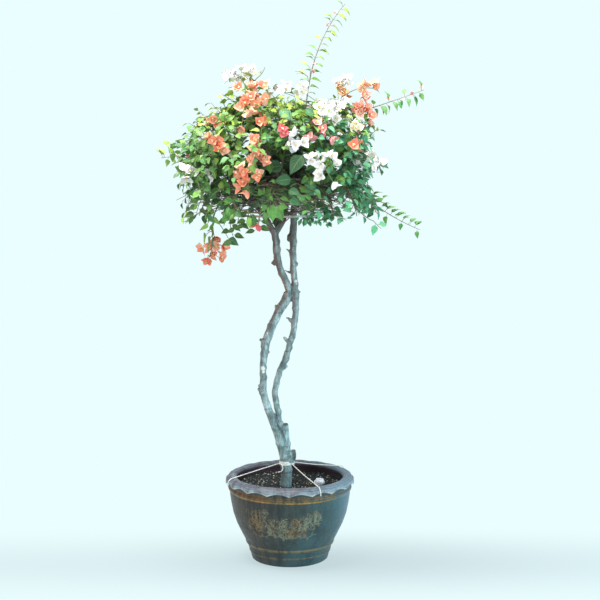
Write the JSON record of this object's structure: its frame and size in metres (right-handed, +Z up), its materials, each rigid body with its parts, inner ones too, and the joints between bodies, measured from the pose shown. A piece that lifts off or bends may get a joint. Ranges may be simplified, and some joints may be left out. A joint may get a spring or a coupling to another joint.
{
  "type": "potted bougainvillea",
  "caption": "Standard bougainvillea in a glazed, scalloped pot: twin bare stems, a leafy dome with coloured bracts, held by a wire hoop and strings.",
  "frame": {"origin": "centre of the pot's foot, on the ground", "axes": "+Z up along the pot's axis, -Y towards the front, which bears the pot's relief, +X to the right as seen from the front"},
  "size_m": [1.0227, 0.906, 2.1731],
  "materials": {
    "glaze": "dark blue-green glaze with bronze weathering and ochre bands",
    "soil": "matt bark-based potting mix with grit",
    "stone": "matt pale stone",
    "bark": "matt grey bark with pale scars",
    "frame_rod": "dull weathered paint",
    "cord": "matt white twine",
    "leaf": "satin green leaf",
    "bract_orange": "papery salmon orange",
    "bract_red": "papery rose red",
    "bract_white": "papery white with a pink tinge",
    "bract_cream": "papery cream"
  },
  "bodies": {
    "root": {"pot": "glaze", "soil": "soil", "white_stone": "stone", "trunk": "bark", "training_frame": "frame_rod", "frame_tie_left": "cord", "frame_tie_right": "cord", "guy_string": "cord", "bloom_cream_right": "bract_cream", "bloom_orange_back": "bract_orange", "bloom_orange_chain": "bract_orange", "bloom_orange_crest": "bract_orange", "bloom_orange_hanging": "bract_orange", "bloom_orange_left": "bract_orange", "bloom_orange_left_high": "bract_orange", "bloom_orange_right": "bract_orange", "bloom_orange_right_high": "bract_orange", "bloom_orange_right_low": "bract_orange", "bloom_red_back": "bract_red", "bloom_red_front": "bract_red", "bloom_red_low": "bract_red", "bloom_red_right": "bract_red", "bloom_white_back": "bract_white", "bloom_white_front": "bract_white", "bloom_white_left": "bract_white", "bloom_white_mid": "bract_white", "bloom_white_plume": "bract_white", "bloom_white_right": "bract_white", "bloom_white_top": "bract_white", "spray_back_left_mid": "leaf", "spray_back_low": "leaf", "spray_back_mid": "leaf", "spray_back_right_mid": "leaf", "spray_front_left_low": "leaf", "spray_front_left_mid": "leaf", "spray_front_low": "leaf", "spray_front_mid": "leaf", "spray_front_mid_left": "leaf", "spray_front_mid_right": "leaf", "spray_front_right_low": "leaf", "spray_hanging_left": "leaf", "spray_left_back_low": "leaf", "spray_left_front": "leaf", "spray_left_front_low": "leaf", "spray_left_low": "leaf", "spray_left_tip": "leaf", "spray_plume": "leaf", "spray_right_back_low": "leaf", "spray_right_front_low": "leaf", "spray_right_front_mid": "leaf", "spray_right_low": "leaf", "spray_right_mid": "leaf", "spray_right_shoot": "leaf", "spray_right_top": "leaf", "spray_right_trail": "leaf", "spray_top_back": "leaf", "spray_top_front_right": "leaf", "spray_top_left": "leaf", "spray_top_left_front": "leaf", "spray_top_shoot": "leaf"}
  },
  "joints": []
}
